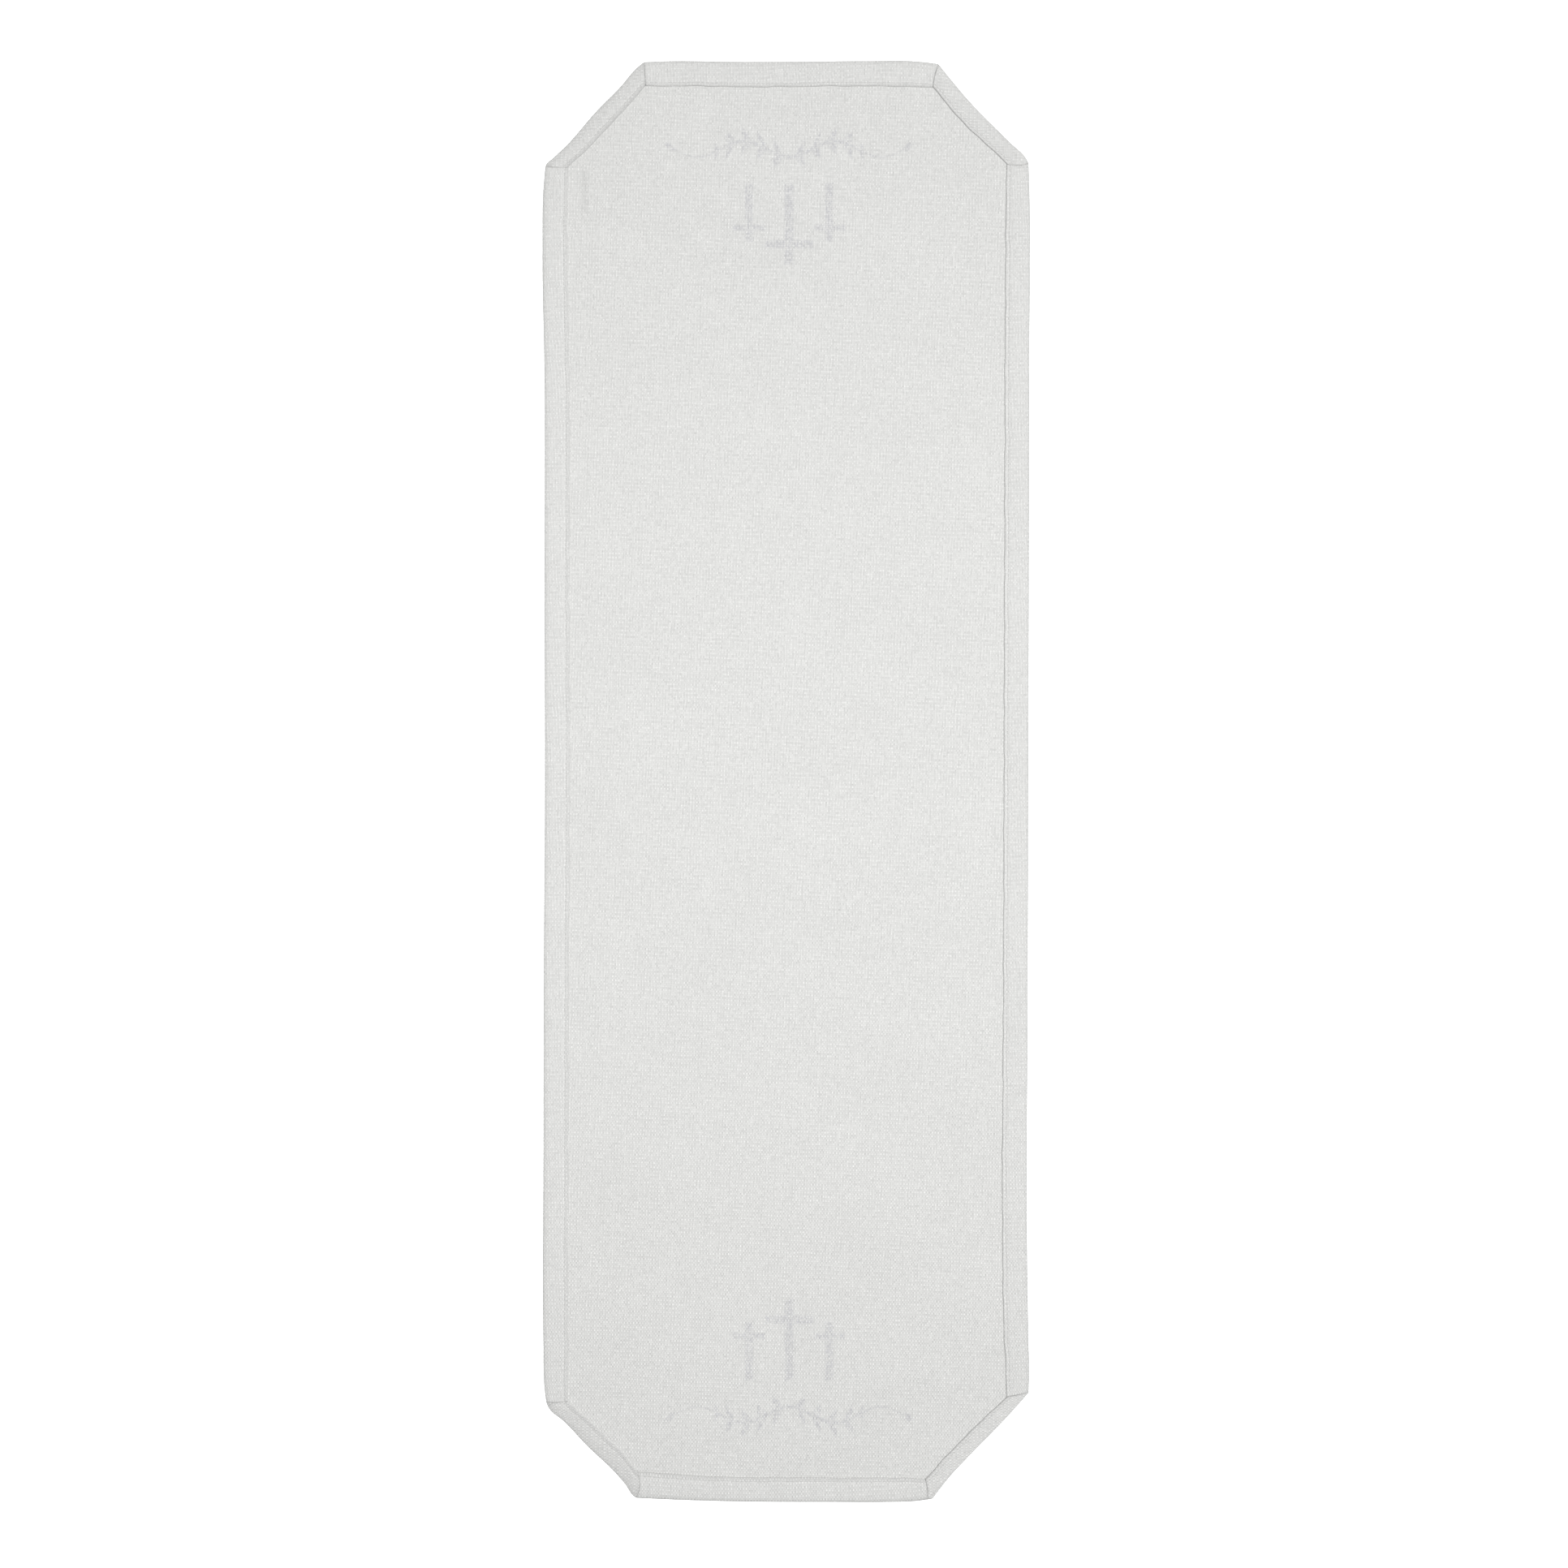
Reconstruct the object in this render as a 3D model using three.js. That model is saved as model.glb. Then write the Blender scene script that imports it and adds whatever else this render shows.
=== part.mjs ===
// A hemmed cloth table runner: one long panel whose eight edges are turned up, mitred and stitched.
// Millimetres. It lies flat with the back of the cloth up, +Y towards its head end and +X to the right.
// It folds for storage along three lines across it, which part it into four quarters.
import * as THREE from "three";

// Overall size.
const LENGTH = 910;
const WIDTH = 307;

// The cloth. A hem is the cloth turned up round its outer fold and in again, two layers on the panel.
const LAYER = 0.375;
const HEM_TOP = 3 * LAYER;

// The sewing thread lies on the hem, a little way in from the hem's free edge.
const THREAD_WIDTH = 0.5;
const THREAD_HEIGHT = 0.125;
const STITCH_INSET = 2.25;

// What is cut off each corner, across the runner and along it. The corners are cut by hand, so no two match.
const CORNER_CUTS = {
  foot_left: [58, 63],
  foot_right: [60.5, 69],
  head_right: [57, 64],
  head_left: [63, 66.5],
};

// How deep each hem is, from its outer fold to its free edge.
const HEM_DEPTHS = {
  foot_end: 15,
  head_end: 15.5,
  left: 15.5,
  right: 15.5,
  foot_left: 11,
  foot_right: 10,
  head_right: 12,
  head_left: 10.5,
};

// Neighbouring pieces that don't lie on each other keep this far apart.
const GAP = 0.3;

// The fold lines are at the middle and half-way to each end.
const QUARTER = LENGTH / 4;
const QUARTERS = [
  { name: "foot_outer", low: -2 * QUARTER, high: -QUARTER },
  { name: "foot_inner", low: -QUARTER, high: 0 },
  { name: "head_inner", low: 0, high: QUARTER },
  { name: "head_outer", low: QUARTER, high: 2 * QUARTER },
];

const CLOTH = new THREE.MeshStandardMaterial({ color: 0xe2e2e0, roughness: 0.95, metalness: 0 });
const HEM = new THREE.MeshStandardMaterial({ color: 0xe5e5e3, roughness: 0.95, metalness: 0 });
const THREAD = new THREE.MeshStandardMaterial({ color: 0xcfcfcd, roughness: 0.7, metalness: 0 });

// The outline's eight points, anticlockwise from the left end of the foot edge.
function outlinePoints() {
  const x = WIDTH / 2;
  const y = LENGTH / 2;
  const { foot_left, foot_right, head_right, head_left } = CORNER_CUTS;
  return [
    new THREE.Vector2(-x + foot_left[0], -y),
    new THREE.Vector2(x - foot_right[0], -y),
    new THREE.Vector2(x, -y + foot_right[1]),
    new THREE.Vector2(x, y - head_right[1]),
    new THREE.Vector2(x - head_right[0], y),
    new THREE.Vector2(-x + head_left[0], y),
    new THREE.Vector2(-x, y - head_left[1]),
    new THREE.Vector2(-x, -y + foot_left[1]),
  ];
}

// Each edge runs from one outline point to the next and has the runner on its left.
function outlineEdges(points) {
  const names = ["foot_end", "foot_right", "right", "head_right", "head_end", "head_left", "left", "foot_left"];
  return names.map((name, i) => {
    const start = points[i];
    const end = points[(i + 1) % points.length];
    const direction = end.clone().sub(start).normalize();
    const inward = new THREE.Vector2(-direction.y, direction.x);
    return { name, start, direction, inward, length: start.distanceTo(end) };
  });
}

// Where the lines that run inside two edges, each at its own distance, meet.
function meetingPoint(edge, inset, next, nextInset) {
  const a = edge.start.clone().addScaledVector(edge.inward, inset);
  const b = next.start.clone().addScaledVector(next.inward, nextInset);
  const along = b.clone().sub(a).dot(next.inward) / edge.direction.dot(next.inward);
  return a.addScaledVector(edge.direction, along);
}

// How far a mitre leans along an edge for each millimetre in from it, at the edge's start and its end.
function mitreLeans(edges, i) {
  const edge = edges[i];
  const before = edges[(i + edges.length - 1) % edges.length];
  const after = edges[(i + 1) % edges.length];
  const depth = HEM_DEPTHS[edge.name];
  const first = meetingPoint(before, HEM_DEPTHS[before.name], edge, depth);
  const last = meetingPoint(edge, depth, after, HEM_DEPTHS[after.name]);
  const startLean = first.sub(edge.start).dot(edge.direction) / depth;
  const endLean = (last.sub(edge.start).dot(edge.direction) - edge.length) / depth;
  return [startLean, endLean];
}

// One side of an outline cut along the line at y: side is 1 for the part above it, -1 for the part below.
function cutOutline(points, y, side) {
  const kept = [];
  points.forEach((point, i) => {
    const next = points[(i + 1) % points.length];
    const here = side * (point.y - y);
    const there = side * (next.y - y);
    if (here >= 0) kept.push(point);
    if (here * there < 0) kept.push(point.clone().lerp(next, here / (here - there)));
  });
  return kept;
}

function addMesh(group, name, geometry, material) {
  const mesh = new THREE.Mesh(geometry, material);
  mesh.name = name;
  group.add(mesh);
  return mesh;
}

// One quarter of the single layer of cloth, inside the hems' outer folds.
function addPanel(group, edges, quarter) {
  const inset = LAYER + GAP;
  const outline = edges.map((edge, i) => {
    const before = edges[(i + edges.length - 1) % edges.length];
    return meetingPoint(before, inset, edge, inset);
  });
  const above = cutOutline(outline, quarter.low + GAP / 2, 1);
  const points = cutOutline(above, quarter.high - GAP / 2, -1);
  const geometry = new THREE.ExtrudeGeometry(new THREE.Shape(points), { depth: LAYER, bevelEnabled: false });
  addMesh(group, `panel_${quarter.name}`, geometry, CLOTH);
}

// A strip along an edge. Its section's points are [distance in from the edge, height], and each of its
// ends is given by its distance along the edge and its lean.
function addStrip(group, name, edge, section, start, end, material) {
  const shape = new THREE.Shape(section.map(([inset, height]) => new THREE.Vector2(inset, height)));
  const geometry = new THREE.ExtrudeGeometry(shape, { depth: 1, bevelEnabled: false });
  const position = geometry.getAttribute("position");
  for (let i = 0; i < position.count; i += 1) {
    const inset = position.getX(i);
    const height = position.getY(i);
    const along = position.getZ(i) < 0.5 ? start.at + start.lean * inset : end.at + end.lean * inset;
    position.setXYZ(i, along, inset, height);
  }
  const mesh = addMesh(group, name, geometry, material);
  mesh.position.set(edge.start.x, edge.start.y, 0);
  mesh.rotation.z = Math.atan2(edge.direction.y, edge.direction.x);
}

// The hem and its thread between two ends: the outer fold comes down to what the runner lies on,
// and the rest of the hem lies on the panel.
function addHem(group, kind, suffix, edge, start, end) {
  const depth = HEM_DEPTHS[edge.name];
  const hemSection = [
    [0, 0],
    [LAYER, 0],
    [LAYER, LAYER],
    [depth, LAYER],
    [depth, HEM_TOP],
    [0, HEM_TOP],
  ];
  const middle = depth - STITCH_INSET;
  const threadSection = [
    [middle - THREAD_WIDTH / 2, HEM_TOP],
    [middle + THREAD_WIDTH / 2, HEM_TOP],
    [middle + THREAD_WIDTH / 2, HEM_TOP + THREAD_HEIGHT],
    [middle - THREAD_WIDTH / 2, HEM_TOP + THREAD_HEIGHT],
  ];
  addStrip(group, `${kind}_hem_${suffix}`, edge, hemSection, start, end, HEM);
  addStrip(group, `${kind}_thread_${suffix}`, edge, threadSection, start, end, THREAD);
}

// The hem of an end or a corner, in one length between its two mitres.
function addShortHem(group, kind, suffix, edges, i) {
  const [startLean, endLean] = mitreLeans(edges, i);
  const start = { at: GAP / 2, lean: startLean };
  const end = { at: edges[i].length - GAP / 2, lean: endLean };
  addHem(group, kind, suffix, edges[i], start, end);
}

// The hem of a long side, in four lengths that part at the fold lines.
function addSideHem(group, edges, i) {
  const edge = edges[i];
  const [startLean, endLean] = mitreLeans(edges, i);
  for (const quarter of QUARTERS) {
    const ends = [quarter.low, quarter.high].map((y) => (y - edge.start.y) / edge.direction.y);
    const first = Math.max(0, Math.min(...ends));
    const last = Math.min(edge.length, Math.max(...ends));
    const start = { at: first + GAP / 2, lean: first === 0 ? startLean : 0 };
    const end = { at: last - GAP / 2, lean: last === edge.length ? endLean : 0 };
    addHem(group, "side", `${edge.name}_${quarter.name}`, edge, start, end);
  }
}

function buildRunner() {
  const group = new THREE.Group();
  const edges = outlineEdges(outlinePoints());
  for (const quarter of QUARTERS) {
    addPanel(group, edges, quarter);
  }
  edges.forEach((edge, i) => {
    if (edge.name === "left" || edge.name === "right") addSideHem(group, edges, i);
    else if (edge.name.endsWith("_end")) addShortHem(group, "end", edge.name.replace("_end", ""), edges, i);
    else addShortHem(group, "corner", edge.name, edges, i);
  });
  return group;
}

export default buildRunner();
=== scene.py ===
"""A hemmed cloth table runner, lying flat with the back of the cloth up.

Lengths are in millimetres until a mesh is made, which is in metres. +Y is the runner's head end.
Every edge is named as in the frame, and the edges run anticlockwise, so the cloth is on their left.
"""
import math

import bpy
import numpy as np
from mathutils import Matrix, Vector


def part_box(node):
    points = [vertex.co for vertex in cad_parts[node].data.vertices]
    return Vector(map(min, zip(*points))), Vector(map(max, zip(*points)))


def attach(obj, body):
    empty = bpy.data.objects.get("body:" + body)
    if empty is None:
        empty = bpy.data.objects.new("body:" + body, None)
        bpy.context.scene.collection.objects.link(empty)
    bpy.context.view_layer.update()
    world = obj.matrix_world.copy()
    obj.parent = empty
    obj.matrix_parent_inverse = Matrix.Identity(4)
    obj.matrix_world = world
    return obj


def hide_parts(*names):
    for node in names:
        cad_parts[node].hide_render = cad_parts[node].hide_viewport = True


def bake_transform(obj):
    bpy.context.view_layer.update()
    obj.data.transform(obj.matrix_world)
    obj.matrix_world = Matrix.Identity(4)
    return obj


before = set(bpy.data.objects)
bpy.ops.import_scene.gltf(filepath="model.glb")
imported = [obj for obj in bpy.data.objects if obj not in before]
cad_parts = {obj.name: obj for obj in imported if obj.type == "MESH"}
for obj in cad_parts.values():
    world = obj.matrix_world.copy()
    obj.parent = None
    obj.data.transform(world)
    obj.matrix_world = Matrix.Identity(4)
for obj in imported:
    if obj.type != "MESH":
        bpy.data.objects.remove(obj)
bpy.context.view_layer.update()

MM = 0.001

# Places closer than this are the same place, and nothing is this far away.
TOUCH = 0.01
FAR = 1e9

# The runner's width, how far its outer storage folds lie from the middle one, and where the cloth is parted
# between them.
WIDTH = 2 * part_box("side_hem_right_foot_outer")[1].x / MM
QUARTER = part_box("end_hem_head")[1].y / MM / 2
SPLIT = QUARTER / 2

# How far to each side of a storage fold the rows of the meshes lie closer together.
QUARTER_BEND = 2.6
CENTRE_BEND = 5.9
FOLD_LINES = ((-QUARTER, QUARTER_BEND), (0.0, CENTRE_BEND), (QUARTER, QUARTER_BEND))

# Half of the gap that the frame leaves between neighbouring hems.
HALF_GAP = 0.15

# Heights. The panel's edge lies in a slot in the hem, as it does where cloth is turned over. Above the slot
# the hem is never thinner than its skin, and its lip rises a little towards its own edge.
PANEL_BOTTOM = 0.08
PANEL_TOP = 0.42
SLOT_BOTTOM = 0.078
SLOT_TOP = 0.43
SLOT_START = 0.65
HEM_RISE = 0.7
SKIN = 0.01
LIP_LIFT = 0.07

# How a hem's section runs: the roll at its outer fold, the lip that reaches under the panel, the free edge
# with the place where it stands up, and how far in from the outer fold the panel ends.
ROLL_WIDTH = 4.5
LIP_WIDTH = 2.4
FOLD_RADIUS = 0.45
FREE_EDGE_RADIUS = 0.45
FREE_LIP_INSET = 0.75
FREE_LIP_WIDTH = 0.6
PANEL_INSET = 1.2

# Sewing. The dip is where the stitching pulls the hem down, and the thread lies sunk in it but arches up.
STITCH_INSET = 2.25
STITCH_PITCH = 3.0
STITCH_LENGTH = 2.75
STITCH_DIP = 0.26
STITCH_DIP_WIDTH = 0.75
DIP_CHANGE = 0.28
THREAD_RADIUS = 0.19
THREAD_TWIST = 0.9
THREAD_SUNK = 0.14
THREAD_ARCH = 0.31
UNDER_THREAD_RADIUS = 0.115
UNDER_THREAD_HEIGHT = 0.045
UNDER_THREAD_ARCH = 0.12

# How the panel stands off the table: its lift and waves, which start beyond a flat edge, and the puckers
# beside the sewing.
PANEL_LIFT = 0.1
SLOW_WAVES = 0.06
FINE_WAVES = 0.03
FLAT_EDGE = 2
LIFT_RUN_IN = 25
PUCKERS = 0.035
PUCKER_WIDTH = 3
MOST_LIFT = 0.3

# How far from an end the panel's rows start to follow that end's bow.
END_REACH = 60

# How finely the meshes are divided.
PANEL_STEP = 3.0
HEM_STEP = 0.9
FOLD_STEP = 0.4

# The weave: how far apart its threads lie, how much it is turned against the runner, how far its threads
# stray from straight, and how its relief is made, the first in metres.
WARP_PITCH = 0.94
WEFT_PITCH = 1.27
WEAVE_TURN = math.radians(2)
STRAYING = 1.6
RELIEF = 0.00017
RELIEF_STRENGTH = 0.75

# How the weave shows in the cloth's lightness: the difference between crossings, the painted shade in the
# gaps, the checkerboard of threads that lie over and under, painted lighter and darker as the light falls on
# them, at the head and at the foot, and the stripes of warp and weft. The checkerboard and the stripes
# differ between crossings too.
CROSSING_DIFFERENCE = 0.07
GAP_PAINTED_SHADE = 0.1
GAP_LEVELS = (0.7, 0.62)
CHECK_PAINTED_LIGHT = (0.04, 0.12)
CHECK_LEVELS = (60, -420)
CHECK_DIFFERENCE = 0.2
WARP_TONE = 0.035
WARP_DIFFERENCE = 0.1
WEFT_TONE = 0.022

CLOTH_COLOUR = (0.56, 0.56, 0.549)
HEM_COLOUR = (0.5605, 0.5605, 0.5505)
THREAD_COLOUR = (0.525, 0.525, 0.515)
GHOST_COLOUR = (0.459, 0.459, 0.469)
INK_COLOUR = (0.16, 0.165, 0.18)

# How much of the print shows through, how much of that the threads hide, and how soft its sides are.
PRINT_SHOWS = 0.95
THREADS_HIDE = 0.7
BACK_SOFTNESS = 1.0
FACE_SOFTNESS = 0.35
# The print is the same at both ends and on both sides of this line along the runner. Its crosses are bars,
# each with its middle and half its size across and along the runner.
PRINT_LINE = 1.9
CROSS_BARS = [
    ((0, 352.2), (2.8, 25.5)),
    ((0, 339.5), (15, 2.5)),
    ((25.3, 359.4), (2.4, 18.3)),
    ((25.3, 349.8), (9.8, 1.8)),
]
# The spray beyond the crosses: its stem waves about a level, thins between two places across the runner and
# ends in a bud. Its leaves lean away from it in pairs.
SPRAY_LEVEL = 399.5
STEM_SWING = 5.0
STEM_WAVE = 58
STEM_THINS = (20, 72)
STEM_HALF_WIDTHS = (1.2, 0.3)
STEM_END = 79
BUD_PLACE = 75
BUD_SIZE = (4.5, 2.4)
LEAF_SPACING = 10.0
LEAF_LEAN = math.radians(52)
LEAF_MIDDLE = 6.0
LEAF_SIZE = (6.3, 1.9)
LEAVES_REACH = 47

# A faint darker patch on the cloth: its middle, half its size, how soft its sides are and how dark it is.
DARK_PATCH = ((-127, 373), (1.5, 13), 2.5, 0.09)
# Faint patches: how wide and long they are and how much they differ.
BLOTCHES = ((90, 60, 0.05), (22, 14, 0.04))
FLECK_LEVELS = (0.82, 0.88)
FLECK_TONE = 0.85

EDGE_NAMES = ["foot_end", "foot_right", "right", "head_right", "head_end", "head_left", "left", "foot_left"]
CORNER_EDGES = ("foot_right", "head_right", "head_left", "foot_left")

# How far the sewing has moved each outline point, which is the start of the edge of its name.
OUTER_SHIFTS = {
    "foot_end": (0.7, 3.1),
    "foot_right": (-0.5, 2.5),
    "right": (-0.3, 0.4),
    "head_right": (-0.3, -0.3),
    "head_end": (-0.3, -1.8),
    "head_left": (0.8, -0.6),
    "left": (1.6, 0.3),
    "foot_left": (2.1, 0.3),
}
# The hems' inner corners are moved too, because the layers don't meet quite on the mitres.
INNER_SHIFTS = {
    "foot_end": (0.7, 4.5),
    "foot_right": (-5.0, 0.1),
    "right": (1.1, 0.2),
    "head_right": (1.3, -0.4),
    "head_end": (-1.5, -1.1),
    "head_left": (1.9, -0.3),
    "left": (0.4, -1.6),
    "foot_left": (0.0, 1.5),
}
# How far each edge bows out (or in, below 0) at places along it from 0 to 1.
BOWS = {
    "foot_end": ((0.12, 1.0), (0.4, 2.2), (0.65, 2.2), (0.84, 2.1), (0.95, 1.3)),
    "foot_right": ((0.1, -0.8), (0.2, -1.3), (0.4, -1.0), (0.8, 0.2)),
    "right": ((0.015, 0.3), (0.05, -0.2), (0.14, -1.1), (0.3, -0.6), (0.6, 0.1), (0.84, 0.5), (0.98, 0.5)),
    "head_right": ((0.04, 0.8), (0.2, 0.1), (0.65, -1.4), (0.9, -0.5)),
    "head_end": ((0.03, 0.8), (0.08, 1.6), (0.25, 1.6), (0.5, 0.9), (0.65, 0.6), (0.95, 0.5)),
    "head_left": ((0.05, 0.6), (0.25, 0.0), (0.47, 0.4), (0.8, -0.7), (0.93, 0.0), (0.98, 0.4)),
    "left": (
        (0.015, 1.1), (0.07, 1.9), (0.17, 0.7), (0.35, 0.8), (0.5, 0.6),
        (0.65, 1.4), (0.8, 1.7), (0.95, 1.8), (0.988, 1.1),
    ),
    "foot_left": ((0.04, 1.1), (0.2, 0.0), (0.45, -0.1), (0.77, -1.4), (0.88, -0.9), (0.96, 0.3)),
}
# How much of its bow a corner's free edge follows. The other hems' free edges follow theirs all the way.
BOW_FOLLOWED = {"foot_right": 0.0, "head_right": 0.8, "head_left": 0.0, "foot_left": 0.2}
# For the mitre at the start of each edge: how far its line curves along the outline, how far it strays close
# to the outer fold, and how open its crease is at the free edge, from 0 to 1.
MITRES = {
    "foot_end": (1.8, 0.0, 0.35),
    "foot_right": (-0.5, -2.8, 0.9),
    "right": (0.0, 0.0, 0.9),
    "head_right": (-1.2, 0.0, 0.4),
    "head_end": (0.7, 0.0, 1.0),
    "head_left": (0.0, 0.0, 0.9),
    "left": (0.5, 0.0, 0.3),
    "foot_left": (0.3, 0.0, 0.4),
}
# How light each hem is painted, as the light falls on its slopes, how far its free edge stands up, and how
# dark the painted shade along that edge and along the outer fold is.
HEM_LOOKS = {
    "foot_end": (1.0, 0.08, 0.13, 0.27),
    "foot_right": (0.985, 0.2, 0.2, 0.08),
    "right": (0.99, 0.08, 0.04, 0.22),
    "head_right": (0.97, 0.16, 0.17, 0.11),
    "head_end": (0.995, 0.12, 0.19, 0.14),
    "head_left": (0.96, 0.12, 0.2, 0.07),
    "left": (0.997, 0.04, 0.1, 0.14),
    "foot_left": (0.942, 0.06, 0.05, 0.1),
}
# How wide those two painted shades are, how far in the free edge's starts, and how dark and wide the painted
# shade in a mitre's crease is.
OUTER_FOLD_SHADE_WIDTH = 0.9
FREE_EDGE_SHADE_START = 0.95
FREE_EDGE_SHADE_WIDTH = 0.4
MITRE_SHADE = 0.16
MITRE_SHADE_WIDTH = 0.8
# How much of a mitre's line strays close to the outer fold, and how round the outline's corners are.
HEEL_WIDTH = 0.16
CORNER_RADIUS = 2.6
# How much deeper each hem is than in the frame, away from its mitres.
EXTRA_DEPTHS = {
    "foot_end": 0.5,
    "foot_right": 0.9,
    "right": 0.1,
    "head_right": 0.6,
    "head_end": 0.5,
    "head_left": 1.0,
    "left": 0.4,
    "foot_left": 1.3,
}
# How far from its mitres a hem reaches that depth, on a corner and on the other edges.
CORNER_RUN_IN = 25.0
OTHER_RUN_IN = 45.0
# How full a hem's top is, and how far it billows and puffs up within reach of its mitres, which is more on
# the corners because they are cut on the bias.
HEM_FULLNESS = 0.05
CORNER_BILLOWS = (0.09, 0.16)
OTHER_BILLOWS = (0.05, 0.04)
PUFF_REACH = 7
# How unsteady the free edges are.
UNSTEADINESS = 0.18


# ---- small helpers

def smooth(t):
    """0 below 0, 1 above 1, and a smooth step between."""
    t = np.clip(t, 0, 1)
    return t * t * (3 - 2 * t)


def bump(x, middle, width):
    return np.exp(-(((x - middle) / width) ** 2))


def waver(x, wavelengths, seed):
    """A wavy line of about unit height, the same each time for the same seed."""
    random = np.random.default_rng(seed)
    waves = [np.sin(2 * np.pi * x / w + random.uniform(0, 2 * np.pi)) for w in wavelengths]
    return sum(waves) / math.sqrt(len(wavelengths))


def steps_between(start, end, step):
    """Evenly spaced places from start to end, no more than a step apart."""
    return np.linspace(start, end, max(2, math.ceil(abs(end - start) / step) + 1))


# ---- the outline

def node_points(node):
    return np.array([v.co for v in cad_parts[node].data.vertices], float).reshape(-1, 3) / MM


def outer_fold(node, axis, side):
    """Where a straight hem's outer fold starts, ends and lies."""
    points = node_points(node)
    across = points[:, axis] * side
    along = points[across > across.max() - TOUCH, 1 - axis]
    return along.min(), along.max(), side * across.max()


def outline_points():
    """The start of every edge, as the frame has it."""
    foot_left, foot_right, foot_y = outer_fold("end_hem_foot", 1, -1)
    head_left, head_right, head_y = outer_fold("end_hem_head", 1, 1)
    right_low, _, right_x = outer_fold("side_hem_right_foot_outer", 0, 1)
    _, right_high, _ = outer_fold("side_hem_right_head_outer", 0, 1)
    left_low, _, left_x = outer_fold("side_hem_left_foot_outer", 0, -1)
    _, left_high, _ = outer_fold("side_hem_left_head_outer", 0, -1)
    return np.array([
        [foot_left - HALF_GAP, foot_y],
        [foot_right + HALF_GAP, foot_y],
        [right_x, right_low - HALF_GAP],
        [right_x, right_high + HALF_GAP],
        [head_right + HALF_GAP, head_y],
        [head_left - HALF_GAP, head_y],
        [left_x, left_high + HALF_GAP],
        [left_x, left_low - HALF_GAP],
    ])


def hem_node(name):
    if name.endswith("_end"):
        return "end_hem_" + name.replace("_end", "")
    return f"corner_hem_{name}" if name in CORNER_EDGES else f"side_hem_{name}_head_inner"


class Mitre:
    """The line where two neighbouring hems meet, from the outline to the hems' free edges."""

    def __init__(self, name, outer, inner):
        self.outer = outer
        self.inner = inner
        self.curve, self.heel, self.crease = MITRES[name]

    def lies_between(self, before, after):
        """Takes the direction that the line curves in from the edges on both sides."""
        both = before.direction + after.direction
        self.sideways = both / np.linalg.norm(both)

    def line(self, across):
        curve = self.curve * 4 * across * (1 - across)
        near = across / HEEL_WIDTH
        heel = self.heel * near * np.exp(1 - near) * (1 - across)
        straight = self.outer + (self.inner - self.outer) * across[..., None]
        return straight + (curve + heel)[..., None] * self.sideways

    def openness(self, across):
        """How open the crease is, which is all the way at the outer fold."""
        return 1 + (self.crease - 1) * smooth(across * 1.2)


class Edge:
    """One edge of the runner with the hem that is turned up along it."""

    def __init__(self, name, cad_start, cad_end):
        self.name = name
        direction = (cad_end - cad_start) / np.linalg.norm(cad_end - cad_start)
        self.cad_inward = np.array([-direction[1], direction[0]])
        self.cad_start = cad_start
        points = node_points(hem_node(name))[:, :2]
        self.depth = ((points - cad_start) @ self.cad_inward).max()
        self.corner = name in CORNER_EDGES
        self.run_in = CORNER_RUN_IN if self.corner else OTHER_RUN_IN
        self.billow, self.puff = CORNER_BILLOWS if self.corner else OTHER_BILLOWS

    def settle(self, first, last):
        """Takes the edge's own place from the mitres at its two ends."""
        self.mitres = (first, last)
        self.start = first.outer
        self.end = last.outer
        self.inner_start = first.inner
        self.inner_end = last.inner
        self.length = np.linalg.norm(self.end - self.start)
        self.direction = (self.end - self.start) / self.length
        self.inward = np.array([-self.direction[1], self.direction[0]])
        self.seed = EDGE_NAMES.index(self.name)
        self.tone, self.lip_rise, self.shade, self.rim = HEM_LOOKS[self.name]


def meeting_point(edge, after):
    """Where the free edges of two neighbouring hems meet."""
    normals = np.array([edge.cad_inward, after.cad_inward])
    reaches = [e.cad_start @ e.cad_inward + e.depth for e in (edge, after)]
    return np.linalg.solve(normals, reaches)


def make_edges():
    cad = outline_points()
    edges = [Edge(name, cad[i], cad[(i + 1) % 8]) for i, name in enumerate(EDGE_NAMES)]
    mitres = []
    for i, edge in enumerate(edges):
        outer = cad[i] + OUTER_SHIFTS[edge.name]
        inner = meeting_point(edges[i - 1], edge) + INNER_SHIFTS[edge.name]
        mitres.append(Mitre(edge.name, outer, inner))
    for i, edge in enumerate(edges):
        edge.settle(mitres[i], mitres[(i + 1) % 8])
    for i, mitre in enumerate(mitres):
        mitre.lies_between(edges[i - 1], edges[i])
    return edges


def bow(edge, along):
    """How far the edge lies outside its chord: a smooth curve through the places in BOWS."""
    places, sizes = np.array([(0.0, 0.0), *BOWS[edge.name], (1.0, 0.0)]).T
    slopes = np.gradient(sizes, places)
    i = np.clip(np.searchsorted(places, along) - 1, 0, len(places) - 2)
    span = places[i + 1] - places[i]
    part = (along - places[i]) / span
    rest = 1 - part
    ends = sizes[i] * rest ** 2 * (1 + 2 * part) + sizes[i + 1] * part ** 2 * (1 + 2 * rest)
    return ends + span * part * rest * (slopes[i] * rest - slopes[i + 1] * part)


def corner_rounding(distance):
    """How far a rounded corner stays inside the point where its two edges meet."""
    tangent = CORNER_RADIUS * math.tan(math.pi / 8)
    return math.tan(math.pi / 8) / (2 * tangent) * np.clip(tangent - distance, 0, None) ** 2


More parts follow.
